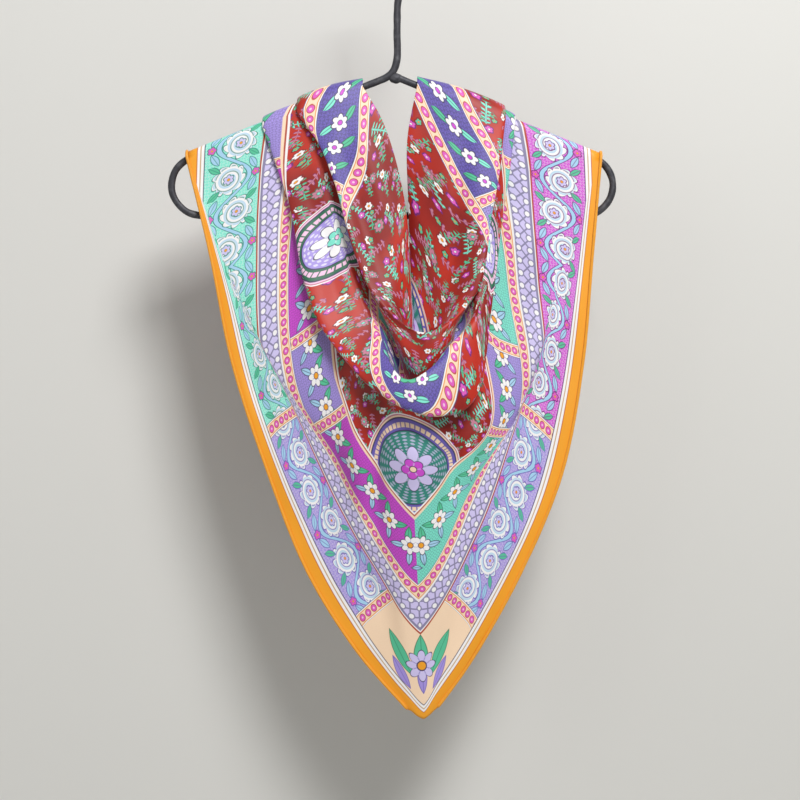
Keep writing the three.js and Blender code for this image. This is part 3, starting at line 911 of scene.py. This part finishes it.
def make_silk(palette):
    board = Board("printed_silk")
    square = FlatSquare(board)
    print_colour = paint_print(board, square, palette)
    # The twill's fine ribs run across the square at a slant.
    rib = board.maths("SINE", (square.across + square.upward * 0.55) * (2 * math.pi / TWILL_PITCH))
    fibre = board.noise(900.0, 2.0)
    tone = board.mix(0.06 * fibre, print_colour, (0.0, 0.0, 0.0, 1.0))
    return board.finish(
        rib * 0.5 + fibre, 0.10, 0.0002, Base_Color=tone, Roughness=0.46 + 0.08 * fibre,
        Specular_IOR_Level=0.45, Sheen_Weight=0.18, Sheen_Roughness=0.4,
    )


def make_hem_silk(colour):
    board = Board("hem_silk")
    cloud, fibre = board.noise(160.0, 3.0), board.noise(1400.0, 2.0)
    shade = board.mix(0.35 * cloud, colour, shaded(colour, 0.6))
    return board.finish(
        cloud + 0.5 * fibre, 0.25, 0.0003, Base_Color=shade, Roughness=0.45 + 0.1 * fibre,
        Sheen_Weight=0.18,
    )


def make_iron(colour):
    board = Board("forged_iron")
    dent, grit = board.noise(170.0, 2.0), board.noise(1100.0, 3.0)
    worn = board.part(board.mask(dent - 0.6, 0.2), 0.5)
    return board.finish(
        dent + 0.25 * grit, 0.35, 0.0004, Metallic=0.35, Roughness=0.42 + 0.25 * grit,
        Base_Color=board.mix(worn, colour, (0.13, 0.13, 0.14, 1.0)),
    )


# ---- Sizes and colours that a user would change ------------------------------------------------
def length_property(name, description, default):
    return FloatProperty(name=name, description=description, default=default, min=0.00005,
                         unit="LENGTH",
                         precision=5)


def colour_property(name, code):
    return FloatVectorProperty(name=name, description=name + " of the scarf or hanger",
                               default=tint(code),
                               size=4, min=0, max=1, subtype="COLOR")


class ScarfSizes(bpy.types.PropertyGroup):
    silk_thickness: length_property("Silk thickness", "Thickness of one layer of silk", 0.00025)
    layer_gap: length_property("Layer gap", "Distance between the two layers of the folded square",
                               0.0009)
    hem_radius: length_property("Hem radius", "Radius of the rolled hem", 0.0013)
    stitch_spacing: length_property("Stitch spacing", "Distance between the hem's stitches", 0.006)
    stitch_length: length_property("Stitch length", "Length of one hem stitch", 0.0024)
    stitch_thickness: length_property("Stitch thickness", "Thickness of one hem stitch", 0.0006)


COLOUR_CODES = {
    "marigold": "f4a320", "aqua": "80e6d0", "magenta": "cf4bd0", "lilac": "a794e0",
    "pale_lilac": "d2c8f2", "smoke": "8c86a8", "vermilion": "be2812", "dark_red": "7c100e",
    "peach": "fbdcbc", "leaf": "58c49a", "deep_green": "2a6a4e", "violet": "6a5cb4",
    "pearl": "e05cc0", "pearl_pale": "f6c6e4", "rust": "b4452c", "orange": "e8922e",
    "white": "f6f4f4", "sky": "a6d2ee", "ink": "3a3156", "plum": "6a1c74", "teal": "2f8478",
    "dusky": "c77d94", "tan": "c8a070", "iron": "3e3e44",
}


class ScarfColours(bpy.types.PropertyGroup):
    __annotations__ = {
        key: colour_property(key.replace("_", " ").capitalize(), code)
        for key, code in COLOUR_CODES.items()
    }


class SCARF_OT_silk(bpy.types.Operator):
    """Drape the printed silk square over the hanger's arms"""

    bl_idname = "scarf.silk"
    bl_label = "Silk square"

    def execute(self, context):
        sizes = context.scene.scarf_sizes
        colours = {key: tuple(getattr(context.scene.scarf_colours, key)) for key in COLOUR_CODES}
        rows, s, t, first, last = silk_rows(sizes.layer_gap / MM / 2)
        points, flats = [rows.reshape(-1, 3)], [np.stack([s, t], 2).reshape(-1, 2)]
        index = np.arange(rows.shape[0] * rows.shape[1]).reshape(rows.shape[:2])
        faces = grid_faces(index)
        count = index.size
        between = slice(first, last + 1)
        for column, _, corner_x in TAILS:
            tail, tail_s, tail_t = tail_rows(
                rows[between, column], s[between, column], t[between, column], corner_x
            )
            tail_index = np.arange(tail.shape[0] * tail.shape[1]).reshape(tail.shape[:2]) + count
            joined = np.concatenate([index[between, column][None], tail_index])
            faces += grid_faces(joined, flip=column == -1)
            points.append(tail.reshape(-1, 3))
            flats.append(np.stack([tail_s, tail_t], 2).reshape(-1, 2))
            count += tail_index.size
        silk = new_object("silk_square", np.concatenate(points), faces)
        smooth_faces(silk)
        flat = np.concatenate(flats)
        left = HALF_DIAGONAL - flat[:, 0]
        coordinates = np.stack([left + flat[:, 1], left - flat[:, 1]], 1) / math.sqrt(2) / SQUARE
        loops = np.array([loop.vertex_index for loop in silk.data.loops])
        silk.data.uv_layers.new(name="flat").data.foreach_set("uv", coordinates[loops].ravel())
        wall = silk.modifiers.new("wall", "SOLIDIFY")
        wall.thickness = sizes.silk_thickness
        wall.offset = 0.0
        apply_modifiers(silk)
        silk.data.materials.clear()
        silk.data.materials.append(make_silk(colours))
        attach(silk, "root")
        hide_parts(*SILK_NODES)
        return {"FINISHED"}


def hem_paths(half_gap, radius):
    """The square's four edges as the hems' paths, each with its layer: 1 outside, -1 inside."""
    rows, s, t, first, last = silk_rows(half_gap)
    between = slice(first, last + 1)
    paths = []
    for column, inner, corner_x in TAILS:
        tail, _, _ = tail_rows(rows[between, column], s[between, column], t[between, column],
                               corner_x)
        angle = np.minimum(np.arange(1, len(tail) + 1) / SADDLE_STEPS, 1) * math.pi
        over_arm = np.stack([0 * angle, -np.cos(angle), np.sin(angle)], 1)
        for layer, front, tail_end, tail_next in (
            (1, rows[last:], -1, -2), (-1, rows[: first + 1][::-1], 0, 1),
        ):
            ends = np.concatenate([front[::-1, column], tail[:, tail_end]])
            outward = unit(ends - np.concatenate([front[::-1, inner], tail[:, tail_next]]))
            away = np.concatenate([np.tile((0.0, -1.0, 0.0), (len(front), 1)), over_arm])
            paths.append((ends + outward * radius * HEM_OUT + away * layer * radius * HEM_OVER,
                          layer))
    return paths


class SCARF_OT_hems(bpy.types.Operator):
    """Roll the hems along the square's four edges"""

    bl_idname = "scarf.hems"
    bl_label = "Rolled hems"

    def execute(self, context):
        sizes = context.scene.scarf_sizes
        radius = sizes.hem_radius / MM
        points, faces, count = [], [], 0
        noise = np.random.default_rng(7)
        for path, _ in hem_paths(sizes.layer_gap / MM / 2, radius):
            path = evened(path, HEM_STEP)
            plump = 1 + 0.07 * np.convolve(noise.standard_normal(len(path)), np.ones(4) / 4, "same")
            radii = np.stack([plump * radius, plump * radius * 0.85], 1)
            radii[0] *= 0.5
            radii[-1] *= 0.4
            p, f = tube(path, radii, 10)
            points.append(p)
            faces += [tuple(i + count for i in face) for face in f]
            count += len(p)
        hems = new_object("rolled_hems", np.concatenate(points), faces)
        smooth_faces(hems)
        outward_faces(hems)
        hems.data.materials.append(make_hem_silk(tuple(context.scene.scarf_colours.marigold)))
        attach(hems, "root")
        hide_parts(*HEM_NODES)
        return {"FINISHED"}


def outward_faces(made):
    work = bmesh.new()
    work.from_mesh(made.data)
    bmesh.ops.recalc_face_normals(work, faces=work.faces)
    work.to_mesh(made.data)
    work.free()


def stitch_tree(material):
    """Short slanting stitches along a path."""
    tree = bpy.data.node_groups.new("hem_stitches", "GeometryNodeTree")
    face = tree.interface
    face.new_socket("Geometry", in_out="INPUT", socket_type="NodeSocketGeometry")
    for name in ("Spacing", "Length", "Thickness"):
        face.new_socket(name, in_out="INPUT", socket_type="NodeSocketFloat")
    face.new_socket("Geometry", in_out="OUTPUT", socket_type="NodeSocketGeometry")

    def add(kind, settings=None, **values):
        """A node with its settings and its inputs' values or links. The result is its outputs."""
        made = tree.nodes.new(kind)
        for key, value in (settings or {}).items():
            setattr(made, key, value)
        for key, value in values.items():
            spot = made.inputs[int(key[1:]) if key[0] == "i" else key]
            if isinstance(value, bpy.types.NodeSocket):
                tree.links.new(value, spot)
            else:
                spot.default_value = value
        return made.outputs

    start = add("NodeGroupInput")
    curve = add("GeometryNodeMeshToCurve", Mesh=start["Geometry"])
    spaced = add("GeometryNodeResampleCurve", {"mode": "LENGTH"}, Curve=curve[0],
                 Length=start["Spacing"])
    tangent = add("GeometryNodeInputTangent")
    slant = add("ShaderNodeVectorMath", {"operation": "ADD"}, i0=tangent[0], i1=(0.0, -0.9, 0.0))
    turned = add("FunctionNodeAlignRotationToVector", {"axis": "Z"}, Vector=slant[0])
    bead = add("GeometryNodeMeshUVSphere", Segments=6, Rings=5, Radius=0.5)
    thick = start["Thickness"]
    shape = add("ShaderNodeCombineXYZ", i0=thick, i1=thick, i2=start["Length"])
    placed = add("GeometryNodeInstanceOnPoints", Points=spaced[0], Instance=bead["Mesh"],
                 Rotation=turned[0], Scale=shape[0])
    real = add("GeometryNodeRealizeInstances", i0=placed[0])
    finish = add("GeometryNodeSetMaterial", Geometry=real[0], Material=material)
    add("NodeGroupOutput", i0=finish[0])
    return tree


class SCARF_OT_stitches(bpy.types.Operator):
    """Sew the rolled hems with small slanting stitches"""

    bl_idname = "scarf.stitches"
    bl_label = "Hem stitches"

    def execute(self, context):
        sizes = context.scene.scarf_sizes
        radius = sizes.hem_radius / MM
        points, edges = [], []
        for path, layer in hem_paths(sizes.layer_gap / MM / 2, radius):
            path = evened(path, STITCH_STEP)[3:-3]
            path = path + np.array([0.0, -layer * radius * STITCH_OUT, 0.0])
            edges += [(len(points) + i, len(points) + i + 1) for i in range(len(path) - 1)]
            points += list(path)
        stitches = new_object("hem_stitches", points, edges=edges)
        marigold = context.scene.scarf_colours.marigold
        tree = stitch_tree(make_hem_silk(shaded(marigold, THREAD_SHADE)))
        modifier = stitches.modifiers.new("stitches", "NODES")
        modifier.node_group = tree
        values = {
            "Spacing": sizes.stitch_spacing, "Length": sizes.stitch_length,
            "Thickness": sizes.stitch_thickness,
        }
        for item in tree.interface.items_tree:
            if item.in_out == "INPUT" and item.name in values:
                modifier[item.identifier] = values[item.name]
        apply_modifiers(stitches)
        smooth_faces(stitches)
        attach(stitches, "root")
        return {"FINISHED"}


class SCARF_OT_hanger(bpy.types.Operator):
    """Forge the hanger: one rod for the hook and triangle, and the lump of its weld"""

    bl_idname = "scarf.hanger"
    bl_label = "Forged hanger"

    def execute(self, context):
        crook_z = -ROD - CROOK + 2 * ROD
        turn = np.linspace(CROOK_TURN, 0, 20)
        crook = np.stack([CROOK * np.cos(turn), 0 * turn, crook_z + CROOK * np.sin(turn)], 1)
        stem = [(x, 0, SHOULDER_Z + above) for x, above in STEM_ROUTE[::-1]]
        tilt = math.atan(ARM_SLOPE)
        tangent_x = END_X + END_RADIUS * math.sin(tilt)
        arm_left = [(-x, 0, arm_height(x)) for x in np.linspace(STEM_FROM, tangent_x - 4, 14)]
        bend = np.linspace(math.pi / 2 - tilt, -math.pi / 2, 12)
        end = np.stack([END_X + END_RADIUS * np.cos(bend), 0 * bend,
                        END_Z + END_RADIUS * np.sin(bend)], 1)
        bar = [(x, 0, END_Z - END_RADIUS) for x in np.linspace(-END_X + 6, END_X - 6, 24)]
        arm_right = [(x, 0, arm_height(x)) for x in np.linspace(tangent_x - 4, 4.5, 14)]
        stops = np.concatenate([
            crook, stem, arm_left, end * np.array([-1, 1, 1]), bar, end[::-1], arm_right,
        ])
        path = evened(smooth(stops, np.linspace(0, len(stops) - 1, len(stops) * 14)), 2.4)
        sides = 20
        noise = np.random.default_rng(3)
        dents = noise.standard_normal((len(path), sides))
        for _ in range(3):
            dents = (dents + np.roll(dents, 1, 0) + np.roll(dents, -1, 0)) / 3
            dents = (dents + np.roll(dents, 1, 1) + np.roll(dents, -1, 1)) / 3
        swell = 1 + 0.30 * dents[..., None]
        radii = ROD * np.clip(swell, 0.93, 1.07) * np.ones((1, 1, 2))
        radii[0] *= 0.55
        radii[1] *= 0.88
        radii[-1] *= 0.8
        points, faces = tube(path, radii, sides)
        count = len(points)
        lump = bmesh.new()
        bmesh.ops.create_icosphere(lump, subdivisions=3, radius=1.0)
        lump.verts.ensure_lookup_table()
        ball = np.array([v.co for v in lump.verts])
        ripple = 1 + 0.06 * np.sin(ball[:, :1] * 5 + 1) * np.cos(ball[:, 2:] * 6)
        weld = ball * ripple * np.array(WELD_RADII) + np.array([WELD_X, 0, SHOULDER_Z - WELD_DROP])
        faces += [tuple(v.index + count for v in f.verts) for f in lump.faces]
        lump.free()
        hanger = new_object("forged_hanger", np.concatenate([points, weld]), faces)
        smooth_faces(hanger)
        outward_faces(hanger)
        hanger.data.materials.append(make_iron(tuple(context.scene.scarf_colours.iron)))
        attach(hanger, "root")
        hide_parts(*HANGER_NODES)
        return {"FINISHED"}


def see_through_back(board, shader):
    """Hides a surface from behind."""
    behind = board.node("ShaderNodeNewGeometry").outputs["Backfacing"]
    clear = board.node("ShaderNodeBsdfTransparent").outputs[0]
    return board.node("ShaderNodeMixShader", i0=behind, i1=shader, i2=clear).outputs[0]


def rectangle(half_width, foot, top):
    return [(-half_width, foot), (half_width, foot), (half_width, top), (-half_width, top)]


class SCARF_OT_stage(bpy.types.Operator):
    """Set the wall, floor, lights and camera"""

    bl_idname = "scarf.stage"
    bl_label = "Stage"

    def execute(self, context):
        scene = context.scene
        plaster = Board("pale_plaster")
        shade = plaster.mix(plaster.noise(3.0, 3.0) * 0.25, tint("dbdad6"), tint("d1d0cc"))
        matt = plaster.node("ShaderNodeBsdfPrincipled", Base_Color=shade, Roughness=0.9).outputs[0]
        plaster.node("ShaderNodeOutputMaterial", Surface=see_through_back(plaster, matt))
        far = BACKDROP_REACH
        upright, level = rectangle(far, BACKDROP_FOOT, BACKDROP_TOP), rectangle(far, -far, far)
        wall = new_object("backdrop", [(x, BACKDROP_Y, z) for x, z in upright], [(0, 1, 2, 3)])
        floor = new_object("floor", [(x, y, FLOOR_Z) for x, y in level], [(0, 1, 2, 3)])
        for piece in (wall, floor):
            piece.data.materials.append(plaster.material)
        world = bpy.data.worlds.new("studio")
        world.use_nodes = True
        sky = world.node_tree.nodes["Background"].inputs
        sky[0].default_value = tint("e8e8e6")
        sky[1].default_value = SKY_STRENGTH
        scene.world = world
        for name, place, size, power in LAMPS:
            light = bpy.data.lights.new(name, "AREA")
            light.energy = power
            light.size = size
            lamp = bpy.data.objects.new(name, light)
            lamp.location = place
            lamp.rotation_euler = look_angles(np.array(LAMP_AIM) - np.array(place))
            scene.collection.objects.link(lamp)
        lens = bpy.data.cameras.new("camera")
        lens.lens = 85.0
        lens.sensor_width = 36.0
        camera = bpy.data.objects.new("camera", lens)
        camera.location = CAMERA_PLACE
        camera.rotation_euler = (math.pi / 2, 0, 0)
        scene.collection.objects.link(camera)
        scene.camera = camera
        scene.view_settings.view_transform = "Standard"
        return {"FINISHED"}


def look_angles(direction):
    """Euler angles that turn a lamp's -Z axis along a direction."""
    x, y, z = direction / np.linalg.norm(direction)
    return (math.acos(-z), 0.0, math.atan2(-x, y))


class SCARF_PT_panel(bpy.types.Panel):
    """Lists what can be built, and its sizes and colours"""

    bl_idname = "SCARF_PT_panel"
    bl_label = "Silk square"
    bl_space_type = "VIEW_3D"
    bl_region_type = "UI"
    bl_category = "Scarf"

    def draw(self, context):
        for operator in OPERATORS:
            self.layout.operator(operator.bl_idname)
        for group in (context.scene.scarf_sizes, context.scene.scarf_colours):
            for key in group.__annotations__:
                self.layout.prop(group, key)


OPERATORS = (SCARF_OT_silk, SCARF_OT_hems, SCARF_OT_stitches, SCARF_OT_hanger, SCARF_OT_stage)
CLASSES = (ScarfSizes, ScarfColours) + OPERATORS + (SCARF_PT_panel,)


def register():
    for each in CLASSES:
        bpy.utils.register_class(each)
    bpy.types.Scene.scarf_sizes = PointerProperty(type=ScarfSizes)
    bpy.types.Scene.scarf_colours = PointerProperty(type=ScarfColours)


def unregister():
    del bpy.types.Scene.scarf_colours
    del bpy.types.Scene.scarf_sizes
    for each in reversed(CLASSES):
        bpy.utils.unregister_class(each)


def main():
    register()
    bpy.ops.scarf.silk()
    bpy.ops.scarf.hems()
    bpy.ops.scarf.stitches()
    bpy.ops.scarf.hanger()
    bpy.ops.scarf.stage()


if __name__ == "__main__":
    main()
